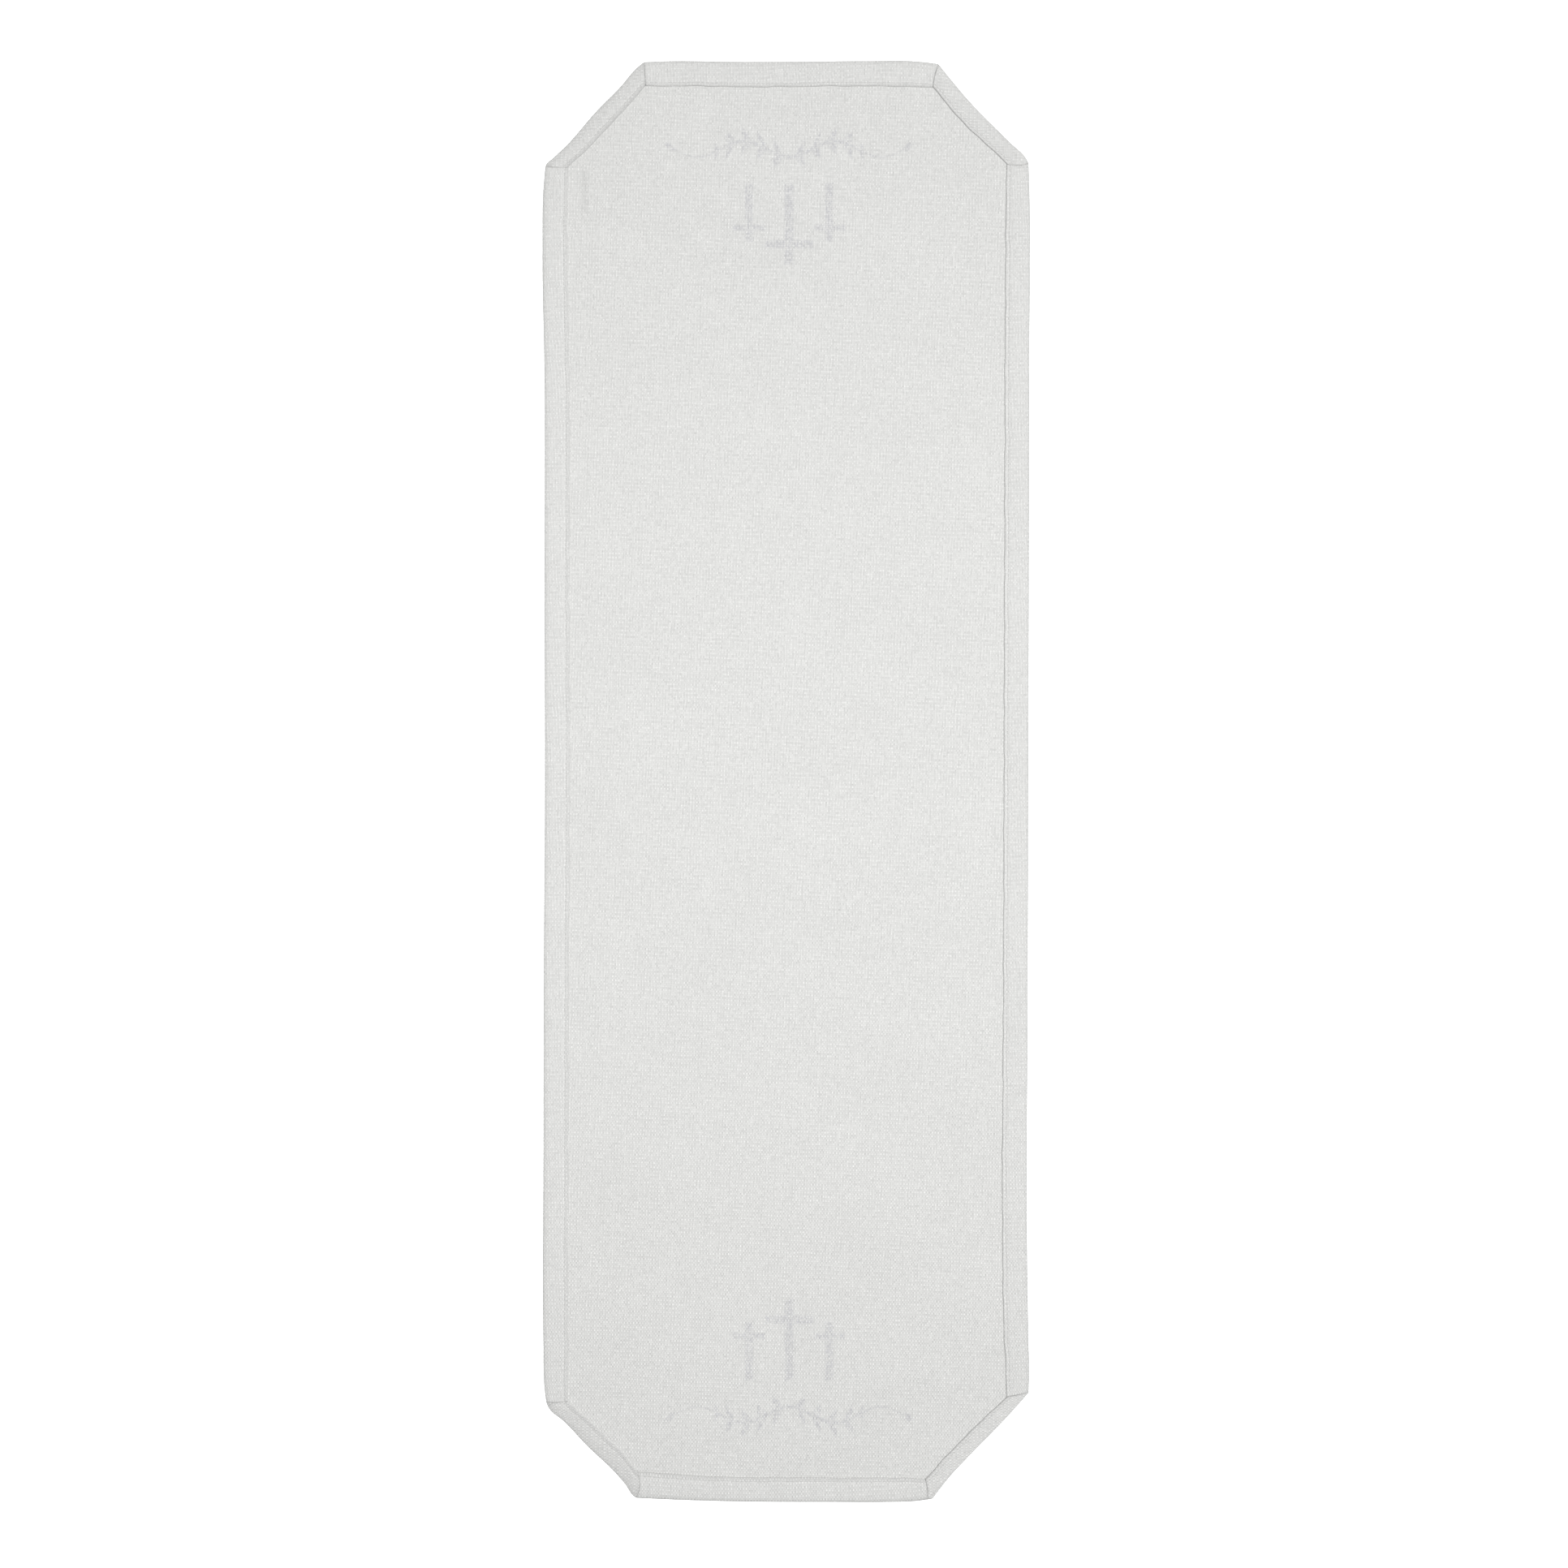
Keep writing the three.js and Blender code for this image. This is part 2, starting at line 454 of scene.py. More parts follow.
def plan(edge, along, across):
    """A place on a hem: along runs from mitre to mitre, and across from its outer fold inwards, 0 to 1."""
    first = edge.mitres[0].line(across)
    last = edge.mitres[1].line(across)
    base = first + (last - first) * along[..., None]
    from_end = np.minimum(along, 1 - along) * edge.length
    start_depth = (edge.inner_start - edge.start) @ edge.inward
    end_depth = (edge.inner_end - edge.end) @ edge.inward
    run_in = smooth(from_end / edge.run_in)
    missing = EXTRA_DEPTHS[edge.name]
    if not edge.corner:
        missing = missing + edge.depth - (start_depth + (end_depth - start_depth) * along)
    deepened = missing * across * run_in
    bowed = bow(edge, along) * (1 - across * (1 - BOW_FOLLOWED.get(edge.name, 1.0) * run_in))
    inset = corner_rounding(from_end) * (1 - across) - bowed + deepened
    unsteady = UNSTEADINESS * waver(along * edge.length, (17, 29, 71), 10 + edge.seed)
    unsteady = unsteady * across * smooth(from_end / 12)
    return base + (inset + unsteady)[..., None] * edge.inward


# ---- meshes

def make_piece(name, outer, inner, cloth, values, material):
    """A closed mesh from two skins of rows by points, with walls between them on all four sides.

    cloth is where each point lies in the unfolded cloth. values are more numbers for the material, by name.
    """
    rows, count = outer.shape[:2]
    ring = np.concatenate([outer, inner[:, ::-1]], axis=1)
    size = 2 * count
    index = np.arange(rows * size).reshape(rows, size)
    here = index[:-1]
    after = np.roll(index, -1, axis=1)[:-1]
    sides = np.stack([here, after, np.roll(index, -1, axis=1)[1:], index[1:]], axis=-1).reshape(-1, 4)
    turned_round = [0, 3, 2, 1]
    faces = np.concatenate([sides, cap(index[0], count), cap(index[-1], count)[:, turned_round]])
    mesh = bpy.data.meshes.new(name)
    mesh.from_pydata((ring.reshape(-1, 3) * MM).tolist(), [], faces.tolist())
    smooth_faces = np.ones(len(faces), bool)
    smooth_faces[len(sides):] = False
    mesh.polygons.foreach_set("use_smooth", smooth_faces)
    store(mesh, "cloth_mm", "FLOAT_VECTOR", "vector", np.concatenate([cloth, cloth[:, ::-1]], axis=1))
    for value_name, (on_outer, on_inner) in values.items():
        store(mesh, value_name, "FLOAT", "value", np.concatenate([on_outer, on_inner[:, ::-1]], axis=1))
    mark_cut_ends(mesh, rows, size)
    return finish_piece(name, mesh, material)


def cap(ring, count):
    """The wall across a ring of points, between its outer and its inner side of count points each."""
    outer = ring[:count]
    inner = ring[::-1][:count]
    return np.stack([outer[:-1], inner[:-1], inner[1:], outer[1:]], axis=-1)


def mark_cut_ends(mesh, rows, size):
    """Keeps the shading smooth up to the walls at a piece's ends, where the next piece goes on."""
    mesh.update(calc_edges=True)
    ends = np.zeros(len(mesh.edges) * 2, np.int32)
    mesh.edges.foreach_get("vertices", ends)
    row = ends.reshape(-1, 2) // size
    sharp = (row[:, 0] == row[:, 1]) & ((row[:, 0] == 0) | (row[:, 0] == rows - 1))
    attribute = mesh.attributes.new("sharp_edge", "BOOLEAN", "EDGE")
    attribute.data.foreach_set("value", sharp)


def store(mesh, name, kind, field, values):
    """Keeps a value for each point with the mesh, so that a material stays put when the cloth bends."""
    attribute = mesh.attributes.new(name, kind, "POINT")
    attribute.data.foreach_set(field, np.asarray(values, np.float32).ravel())


def finish_piece(name, mesh, material):
    mesh.update()
    mesh.materials.append(material)
    piece = bpy.data.objects.new(name, mesh)
    bpy.context.scene.collection.objects.link(piece)
    return piece


# ---- hems

def hem_section(depth):
    """Places on a hem's outer skin, as distances in from its outer fold: on the lip and on its top."""
    lip = np.array([LIP_WIDTH, 1.9, 1.4, 0.9, FOLD_RADIUS])
    roll_angles = np.linspace(0, np.pi / 2, 9)
    roll = ROLL_WIDTH * (1 - np.cos(roll_angles))
    stitch = depth - STITCH_INSET
    flat = steps_between(ROLL_WIDTH, stitch - 1.6, 1.6)[1:]
    dip = stitch + np.array([-1.1, -0.75, -0.45, -0.2, 0, 0.2, 0.45, 0.75, 1.1])
    turn = depth - FREE_EDGE_RADIUS * np.array([1.6, 1.0, 0.6, 0.3, 0.1, 0])
    return lip, np.concatenate([roll, flat, dip, turn])


def fold_arc():
    """Places on the outer fold between its underside and the start of the roll: distance in and height."""
    angles = np.linspace(0, np.pi / 2, 5)[1:-1]
    inset = FOLD_RADIUS * (1 - np.sin(angles))
    height = PANEL_TOP * (1 - np.cos(angles))
    return inset, height


def dip_along(distance):
    """The dip is deepest where the needle went in, once every stitch."""
    return 1 - DIP_CHANGE + DIP_CHANGE * np.cos(2 * np.pi * distance / STITCH_PITCH)


def hem_height(edge, inset, distance, from_mitres):
    """The height of a hem's upper side. inset is from the outer fold and distance is along it."""
    depth = edge.depth
    stitch = depth - STITCH_INSET
    roll = np.sqrt(np.clip(1 - (1 - np.clip(inset / ROLL_WIDTH, 0, 1)) ** 2, 0, 1))
    to_free = np.clip((depth - inset) / FREE_EDGE_RADIUS, 0, 1)
    turn = np.sqrt(np.clip(1 - (1 - to_free) ** 2, 0, 1))
    dip = STITCH_DIP * bump(inset, stitch, STITCH_DIP_WIDTH) * dip_along(distance)
    lip = edge.lip_rise * bump(inset, depth - FREE_LIP_INSET, FREE_LIP_WIDTH)
    between = smooth(inset / 4) * smooth((stitch - 0.5 - inset) / 3)
    billow = edge.billow * waver(distance, (7.3, 11.9, 19, 41), 20 + edge.seed) * between
    fullness = HEM_FULLNESS * between
    puff = edge.puff * np.exp(-from_mitres / PUFF_REACH) * between
    rise = HEM_RISE * roll - dip + lip + billow + fullness + puff
    return SLOT_TOP + SKIN + (rise - SKIN) * turn


def mitre_round(edge, from_start, from_end, across):
    """How much of its height a hem keeps near its mitres, where it turns down into the crease."""
    result = 1.0
    for distance, mitre in ((from_start, edge.mitres[0]), (from_end, edge.mitres[1])):
        openness = mitre.openness(across)
        width = 0.25 + 0.75 * openness
        lowest = 0.82 - 0.7 * openness
        near = np.clip(distance / width, 0, 1)
        result = result * (lowest + (1 - lowest) * np.sqrt(np.clip(1 - (1 - near) ** 2, 0, 1)))
    return result


def hem_rows(edge):
    """Places along a hem from 0 to 1, closer together at its mitres and at the storage folds."""
    near_end = np.array([0.05, 0.12, 0.22, 0.36, 0.55, 0.8, 1.1, 1.6, 2.3])
    stops = [near_end[-1], edge.length - near_end[-1]]
    if edge.name in ("left", "right"):
        stops += fold_stops(edge)
    stops = sorted(stops)
    middles = []
    for start, end in zip(stops, stops[1:]):
        step = FOLD_STEP if end - start < 2.4 * CENTRE_BEND and len(stops) > 2 else HEM_STEP
        middles.append(steps_between(start, end, step)[1:])
    distances = np.concatenate([near_end, *middles, (edge.length - near_end)[::-1][1:]])
    return distances / edge.length


def fold_stops(edge):
    """Where along a side the storage folds' bends start and end, and where its pieces part."""
    levels = [-SPLIT, SPLIT]
    for y, half in FOLD_LINES:
        levels += [y - 1.1 * half, y + 1.1 * half]
    return [level_to_distance(edge, level) for level in levels]


def level_to_distance(edge, level):
    return (level - edge.start[1]) / edge.direction[1]


def hem_skins(edge, along):
    """A hem's outer and inner skins, and where their points lie in the unfolded cloth."""
    lip, top = hem_section(edge.depth)
    arc_inset, arc_height = fold_arc()
    inset = np.concatenate([lip, arc_inset, top])
    across = inset / edge.depth
    grid_along, grid_across = np.meshgrid(along, across, indexing="ij")
    flat = plan(edge, grid_along, grid_across)
    distance = grid_along * edge.length
    from_start, from_end = distance, edge.length - distance
    height = np.zeros_like(distance)
    height[:, :len(lip)] = LIP_LIFT * smooth((lip - FOLD_RADIUS) / (LIP_WIDTH - FOLD_RADIUS))
    height[:, len(lip):len(lip) + len(arc_inset)] = arc_height
    upper = slice(len(lip) + len(arc_inset), None)
    raised = hem_height(edge, grid_across[:, upper] * edge.depth, distance[:, upper],
                        np.minimum(from_start, from_end)[:, upper])
    kept = mitre_round(edge, from_start[:, upper], from_end[:, upper], grid_across[:, upper])
    floor = np.where(grid_across[:, upper] * edge.depth < SLOT_START, PANEL_TOP, SLOT_TOP + SKIN)
    height[:, upper] = floor + (raised - floor) * kept
    outer = np.dstack([flat, height])

    inner_across = np.maximum(inset, SLOT_START) / edge.depth
    inner_flat = plan(edge, *np.meshgrid(along, inner_across, indexing="ij"))
    slot = np.full(len(inset), SLOT_TOP)
    slot[:len(lip)] = SLOT_BOTTOM
    slot[len(lip):len(lip) + len(arc_inset)] = np.linspace(SLOT_BOTTOM, SLOT_TOP, len(arc_inset) + 2)[1:-1]
    inner = np.dstack([inner_flat, np.broadcast_to(slot, distance.shape)])
    return outer, inner, unfolded(edge, outer, inset)


def unfolded(edge, outer, inset):
    """The cloth on a hem's upper side is turned over its outer fold, so its threads run mirrored there."""
    middle = outer[len(outer) // 2]
    lengths = np.linalg.norm(np.diff(middle, axis=0), axis=1)
    reach = LIP_WIDTH - np.concatenate([[0], np.cumsum(lengths)])
    flat = outer[..., :2]
    depth_here = np.broadcast_to(inset, flat.shape[:2])
    turned = flat + ((reach - depth_here)[..., None] * edge.inward)
    return np.dstack([turned, np.full(flat.shape[:2], 7.0 + edge.seed)])


def hem_painted_light_and_shade(edge, outer, along):
    """How light a hem is painted at each point: its own painted light and shade, and painted shade along its
    outer fold, its free edge and its mitres.
    """
    _, top = hem_section(edge.depth)
    inset = (outer[..., :2] - edge.start) @ edge.inward + bow(edge, along)[:, None]
    # The outer fold is painted darker, a painted shade where it turns away from the light.
    rim = edge.rim * np.exp(-np.clip(inset, 0, None) / OUTER_FOLD_SHADE_WIDTH)
    across = np.concatenate([np.zeros(outer.shape[1] - len(top)), top])
    # The free edge is painted darker, a painted shadow where it stands off the panel.
    free = edge.shade * smooth((across - edge.depth + FREE_EDGE_SHADE_START) / FREE_EDGE_SHADE_WIDTH)
    tone = edge.tone * (1 - rim) * (1 - free)
    # Each mitre's crease is painted darker, a painted shade in the crease.
    for part, mitre in ((along, edge.mitres[0]), (1 - along, edge.mitres[1])):
        near = MITRE_SHADE * bump(part * edge.length, 0, MITRE_SHADE_WIDTH)
        tone = tone * (1 - np.outer(near, mitre.openness(across / edge.depth)))
    return tone


def hem_piece(edge, name, along, material):
    outer, inner, cloth = hem_skins(edge, along)
    tone = hem_painted_light_and_shade(edge, outer, along)
    return make_piece(name, outer, inner, cloth, {"tone": (tone, tone)}, material)


# ---- stitches

def stitch_line(edge, distance):
    along = distance / edge.length
    across = np.full_like(distance, 1 - STITCH_INSET / edge.depth)
    return plan(edge, along, across)


def stitch_rings(edge, start, under):
    """Rings of points round one stitch, from the hole where it comes up to the hole where it goes down."""
    progress = np.array([0.0, 0.08, 0.22, 0.5, 0.78, 0.92, 1.0])
    arch = np.sqrt(np.clip(1 - (2 * progress - 1) ** 2, 0, 1))
    distance = start + (progress - 0.5) * STITCH_LENGTH
    centre = stitch_line(edge, distance)
    if under:
        height = PANEL_BOTTOM + UNDER_THREAD_HEIGHT + UNDER_THREAD_ARCH * (1 - arch)
        radius = (THREAD_RADIUS * 0.9, UNDER_THREAD_RADIUS)
    else:
        height = SLOT_TOP + HEM_RISE - STITCH_DIP - THREAD_SUNK + THREAD_ARCH * arch
        radius = (THREAD_RADIUS, THREAD_RADIUS * 0.85)
    angles = np.linspace(0, 2 * np.pi, 9)[:-1] - np.pi / 2
    plump = 0.55 + 0.45 * arch
    sideways = np.outer(plump, np.cos(angles)) * radius[0]
    upward = np.outer(plump, np.sin(angles)) * radius[1]
    flat = centre[:, None, :] + sideways[..., None] * edge.inward
    rings = np.dstack([flat, height[:, None] + upward])
    turns = distance[:, None] * 2 * np.pi / THREAD_TWIST + angles[None, :]
    return rings, turns


def stitch_piece(edge, name, starts, material):
    """A row of lockstitch, seen on both sides of the cloth, as one mesh of separate stitches."""
    points, faces, twists = [], [], []
    for start in starts:
        for under in (False, True):
            rings, turns = stitch_rings(edge, start, under)
            base = sum(len(p) for p in points)
            rows, count = rings.shape[:2]
            points.append(rings.reshape(-1, 3))
            twists.append(turns.ravel())
            index = base + np.arange(rows * count).reshape(rows, count)
            around = np.roll(index, -1, axis=1)
            quads = np.stack([index[:-1], index[1:], around[1:], around[:-1]], axis=-1).reshape(-1, 4)
            faces += quads.tolist() + [index[0].tolist(), index[-1][::-1].tolist()]
    mesh = bpy.data.meshes.new(name)
    mesh.from_pydata((np.concatenate(points) * MM).tolist(), [], faces)
    mesh.polygons.foreach_set("use_smooth", np.ones(len(faces), bool))
    store(mesh, "twist", "FLOAT", "value", np.concatenate(twists))
    return finish_piece(name, mesh, material)


def stitch_starts(edge, low, high):
    """The middles of the stitches between two distances along a hem, on one even row for the whole hem."""
    middles = np.arange(STITCH_PITCH, edge.length - 0.7 * STITCH_PITCH, STITCH_PITCH)
    middles = middles + STITCH_PITCH / 2
    return middles[(middles > low) & (middles <= high)]


# ---- the panel

def boundary(edges, names):
    """Points on the panel's own edge, along some of the runner's edges."""
    along = np.linspace(0, 1, 400)
    lines = []
    for edge in edges:
        if edge.name in names:
            lines.append(plan(edge, along, np.full_like(along, PANEL_INSET / edge.depth)))
    return np.concatenate(lines)


def line_through(points, axis):
    """The points as a line that gives one coordinate for the other."""
    order = np.argsort(points[:, axis])
    ordered = points[order]
    return lambda value: np.interp(value, ordered[:, axis], ordered[:, 1 - axis])


def free_edge_distance(edges, x, y):
    """How far a place on the panel is from the nearest hem's free edge, and how far along that hem."""
    nearest = np.full_like(x, FAR)
    along = np.zeros_like(x)
    for edge in edges:
        chord = edge.inner_end - edge.inner_start
        direction = chord / np.linalg.norm(chord)
        inward = np.array([-direction[1], direction[0]])
        right, up = x - edge.inner_start[0], y - edge.inner_start[1]
        part = right * direction[0] + up * direction[1]
        outward = bow(edge, np.clip(part / np.linalg.norm(chord), 0, 1))
        distance = right * inward[0] + up * inward[1] + outward
        along = np.where(distance < nearest, part + 100 * edge.seed, along)
        nearest = np.minimum(distance, nearest)
    return nearest, along


def panel_lift(edges, x, y):
    """How far the panel stands off the table: slow waves, and small puckers along the sewing."""
    inside, along = free_edge_distance(edges, x, y)
    slow = waver(x + 0.3 * y, (83, 131, 57), 31) * waver(y - 0.2 * x, (97, 149, 61), 32)
    fine = waver(x - 0.5 * y, (23, 37), 33) * waver(y + 0.4 * x, (29, 43), 34)
    waves = PANEL_LIFT + SLOW_WAVES * slow + FINE_WAVES * fine
    near = np.clip(inside / PUCKER_WIDTH, 0, None)
    puckers = PUCKERS * (1 + waver(along, (6.1, 8.7, 13.3), 35)) * near * np.exp(1 - near)
    return np.clip(waves * smooth((inside - FLAT_EDGE) / LIFT_RUN_IN) + puckers, 0, MOST_LIFT)


def panel_rows(low, high):
    """Rows of the panel from low to high, closer together at the storage fold between them."""
    for middle, half in FOLD_LINES:
        if low < middle < high:
            bend = steps_between(middle - half, middle + half, FOLD_STEP)
            before = steps_between(low, bend[0], PANEL_STEP)[:-1]
            after = steps_between(bend[-1], high, PANEL_STEP)[1:]
            return np.concatenate([before, bend, after])
    raise ValueError("each piece of the panel has one storage fold")


def panel_sides(edges):
    """The panel's left and right side, each as a line that gives x for y."""
    left = line_through(boundary(edges, ("foot_left", "left", "head_left")), 1)
    right = line_through(boundary(edges, ("foot_right", "right", "head_right")), 1)
    return left, right


def panel_piece(edges, name, low, high, material):
    """One piece of the panel, from the lowest row to the highest. None takes the end of the runner."""
    left, right = panel_sides(edges)
    ends = {
        -1: line_through(boundary(edges, ("foot_end",)), 0),
        1: line_through(boundary(edges, ("head_end",)), 0),
    }
    corners = {
        -1: max(edges[0].start[1], edges[0].end[1]) + PANEL_INSET,
        1: min(edges[4].start[1], edges[4].end[1]) - PANEL_INSET,
    }
    rows = panel_rows(corners[-1] if low is None else low, corners[1] if high is None else high)
    columns = steps_between(0, 1, PANEL_STEP / WIDTH)
    y, part = np.meshgrid(rows, columns, indexing="ij")
    x = left(y) + (right(y) - left(y)) * part
    for side, corner in corners.items():
        reach = smooth((side * (y - corner) + END_REACH) / END_REACH)
        y = y + (ends[side](x) - corner) * reach
    lift = panel_lift(edges, x, y)
    under = np.dstack([x, y, PANEL_BOTTOM + lift])
    upper = np.dstack([x, y, PANEL_TOP + lift])
    cloth = np.dstack([x, y, np.zeros_like(x)])
    sides = (np.ones_like(x), np.zeros_like(x))
    return make_piece(name, under, upper, cloth, {"face_side": sides}, material)


# ---- materials

class Shader:
    """A material with short ways to add nodes. A value is a number, a colour or another node's output."""

    def __init__(self, name):
        self.material = bpy.data.materials.new(name)
        self.material.use_nodes = True
        self.tree = self.material.node_tree
        self.surface = self.tree.nodes["Principled BSDF"]

    def put(self, socket, value):
        if isinstance(value, bpy.types.NodeSocket):
            self.tree.links.new(value, socket)
        else:
            socket.default_value = value

    def math(self, operation, *values):
        node = self.tree.nodes.new("ShaderNodeMath")
        node.operation = operation
        for socket, value in zip(node.inputs, values):
            self.put(socket, value)
        return node.outputs[0]

    def away(self, value, middle):
        """How far a value is from a middle, on either side of it."""
        return self.math("ABSOLUTE", self.math("SUBTRACT", value, middle))

    def vector(self, operation, *values):
        node = self.tree.nodes.new("ShaderNodeVectorMath")
        node.operation = operation
        for socket, value in zip(node.inputs, values):
            self.put(socket, value)
        return node.outputs[0]

    def attribute(self, name, output):
        node = self.tree.nodes.new("ShaderNodeAttribute")
        node.attribute_name = name
        return node.outputs[output]

    def noise(self, place, detail=2.0, output="Fac"):
        node = self.tree.nodes.new("ShaderNodeTexNoise")
        node.inputs["Scale"].default_value = 1.0
        node.inputs["Detail"].default_value = detail
        self.put(node.inputs["Vector"], place)
        return node.outputs[output]

    def crossing_noise(self, place):
        """Three numbers from -0.5 to 0.5 for each place where a warp and a weft thread cross."""
        cell = self.vector("FLOOR", self.vector("MULTIPLY", place, (1 / WARP_PITCH, 1 / WEFT_PITCH, 1)))
        node = self.tree.nodes.new("ShaderNodeTexWhiteNoise")
        self.put(node.inputs["Vector"], cell)
        return self.split(self.vector("SUBTRACT", node.outputs["Color"], (0.5, 0.5, 0.5)))

    def turned(self, place, angle):
        node = self.tree.nodes.new("ShaderNodeVectorRotate")
        node.rotation_type = "Z_AXIS"
        node.inputs["Angle"].default_value = angle
        self.put(node.inputs["Vector"], place)
        return node.outputs[0]

    def split(self, place):
        node = self.tree.nodes.new("ShaderNodeSeparateXYZ")
        self.put(node.inputs[0], place)
        return tuple(node.outputs)

    def between(self, value, low, high, new_low=0.0, new_high=1.0):
        """The value taken smoothly from one range to another."""
        node = self.tree.nodes.new("ShaderNodeMapRange")
        node.interpolation_type = "SMOOTHSTEP"
        for socket, setting in zip(node.inputs, (value, low, high, new_low, new_high)):
            self.put(socket, setting)
        return node.outputs[0]

    def mixed(self, share, first, second):
        node = self.tree.nodes.new("ShaderNodeMix")
        node.data_type = "RGBA"
        self.put(node.inputs["Factor"], share)
        self.put(node.inputs["A"], first)
        self.put(node.inputs["B"], second)
        return node.outputs["Result"]

    def scaled(self, colour, tone):
        """A colour made lighter or darker by a tone of about 1."""
        return self.vector("MULTIPLY", colour, tone)

    def raise_surface(self, height, distance, strength):
        node = self.tree.nodes.new("ShaderNodeBump")
        node.inputs["Strength"].default_value = strength
        node.inputs["Distance"].default_value = distance
        self.put(node.inputs["Height"], height)
        self.tree.links.new(node.outputs[0], self.surface.inputs["Normal"])


def weave(shader):
    """A plain weave of uneven threads: how high and how light the cloth is at each place, with painted shade
    in its gaps and painted light and shade on its checkerboard.
    """
    cloth = shader.attribute("cloth_mm", "Vector")
    drift = shader.noise(shader.vector("MULTIPLY", cloth, (0.11, 0.11, 1)), 1.0, "Color")
    drift = shader.vector("SUBTRACT", drift, (0.5, 0.5, 0.5))
    drift = shader.vector("MULTIPLY", drift, (STRAYING, STRAYING, 0))
    place = shader.turned(shader.vector("ADD", cloth, drift), WEAVE_TURN)
    x, y, _ = shader.split(place)
    warp = shader.math("SINE", shader.math("MULTIPLY", x, math.pi / WARP_PITCH))
    weft = shader.math("SINE", shader.math("MULTIPLY", y, math.pi / WEFT_PITCH))
    over = shader.math("MULTIPLY", warp, weft)
    warp_round = shader.math("POWER", shader.math("ABSOLUTE", warp), 0.6)
    weft_round = shader.math("POWER", shader.math("ABSOLUTE", weft), 0.6)
    warp_high = shader.math("MULTIPLY", warp_round, shader.math("MULTIPLY_ADD", over, 0.4, 0.6))
    weft_high = shader.math("MULTIPLY", weft_round, shader.math("MULTIPLY_ADD", over, -0.4, 0.6))
    height = shader.math("MAXIMUM", warp_high, weft_high)
    crossing, checked, striped = shader.crossing_noise(place)
    tone = shader.math("MULTIPLY_ADD", crossing, CROSSING_DIFFERENCE, 1.0)
    # The gaps between the threads are painted darker, a painted shade, and their crowns a little lighter.
    gaps = shader.math("SUBTRACT", shader.math("MINIMUM", height, GAP_LEVELS[0]), GAP_LEVELS[1])
    tone = shader.math("MULTIPLY_ADD", gaps, GAP_PAINTED_SHADE, tone)
    # The checkerboard of threads that lie over is painted lighter and darker, painted light and shade as the
    # light falls on warp and weft.
    clear = shader.between(shader.split(cloth)[1], *CHECK_LEVELS, *CHECK_PAINTED_LIGHT)
    check = shader.math("MULTIPLY_ADD", checked, CHECK_DIFFERENCE, clear)
    tone = shader.math("MULTIPLY_ADD", over, check, tone)
    stripe = shader.math("MULTIPLY_ADD", striped, WARP_DIFFERENCE, WARP_TONE)
    tone = shader.math("MULTIPLY_ADD", warp, stripe, tone)
    tone = shader.math("MULTIPLY_ADD", weft, WEFT_TONE, tone)
    return cloth, height, tone


def box_mask(shader, x, y, middle, half, soft):
    """1 inside a box, 0 outside it, with soft sides."""
    over_x = shader.math("SUBTRACT", shader.away(x, middle[0]), half[0])
    over_y = shader.math("SUBTRACT", shader.away(y, middle[1]), half[1])
    return shader.between(shader.math("MAXIMUM", over_x, over_y), soft, -soft)


def print_mask(shader, cloth, soft):
    """The print near each end: three plain crosses and, outside them, a leafy spray."""
    x, y, _ = shader.split(cloth)
    x = shader.away(x, PRINT_LINE)
    y = shader.math("ABSOLUTE", y)
    result = spray_mask(shader, x, y, soft)
    for middle, half in CROSS_BARS:
        result = shader.math("MAXIMUM", result, box_mask(shader, x, y, middle, half, soft))
    return result


def spray_mask(shader, x, y, soft):
    """A waving stem with a bud at its end, and pairs of leaves near its middle."""
    wave = shader.math("COSINE", shader.math("MULTIPLY", x, 2 * math.pi / STEM_WAVE))
    swing = shader.math("MULTIPLY", wave, -STEM_SWING)
    away = shader.away(shader.math("SUBTRACT", y, SPRAY_LEVEL), swing)
    thinned = shader.between(x, *STEM_THINS, *STEM_HALF_WIDTHS)
    bud = shader.between(shader.away(x, BUD_PLACE), BUD_SIZE[0], 0, 0, BUD_SIZE[1])
    outside = shader.math("SUBTRACT", away, shader.math("MAXIMUM", thinned, bud))
    stem = shader.between(outside, soft, -soft)
    stem = shader.math("MULTIPLY", stem, shader.between(x, STEM_END + 1, STEM_END - 1))

    step = shader.math("SUBTRACT", shader.math("FLOORED_MODULO", x, LEAF_SPACING), LEAF_SPACING / 2)
    along = turned_axis(shader, step, away, LEAF_LEAN)
    across = turned_axis(shader, away, step, -LEAF_LEAN)
    along = shader.math("DIVIDE", shader.math("SUBTRACT", along, LEAF_MIDDLE), LEAF_SIZE[0])
    across = shader.math("DIVIDE", across, LEAF_SIZE[1])
    squares = [shader.math("POWER", part, 2) for part in (along, across)]
    size = shader.math("SQRT", shader.math("ADD", *squares))
    leaf = shader.between(size, 1 + 0.5 * soft, 1 - 0.5 * soft)
    leaf = shader.math("MULTIPLY", leaf, shader.between(x, LEAVES_REACH + 1, LEAVES_REACH - 1))
    return shader.math("MAXIMUM", stem, leaf)


def turned_axis(shader, first, second, angle):
    """The first of two coordinates once the axes are turned towards the second."""
    part = shader.math("MULTIPLY", second, math.sin(angle))
    return shader.math("MULTIPLY_ADD", first, math.cos(angle), part)


def cloth_finish(shader, sheen, roughness=0.92):
    shader.surface.inputs["Roughness"].default_value = roughness
    shader.surface.inputs["Specular IOR Level"].default_value = 0.25
    shader.surface.inputs["Sheen Weight"].default_value = sheen
    shader.surface.inputs["Sheen Roughness"].default_value = 0.6


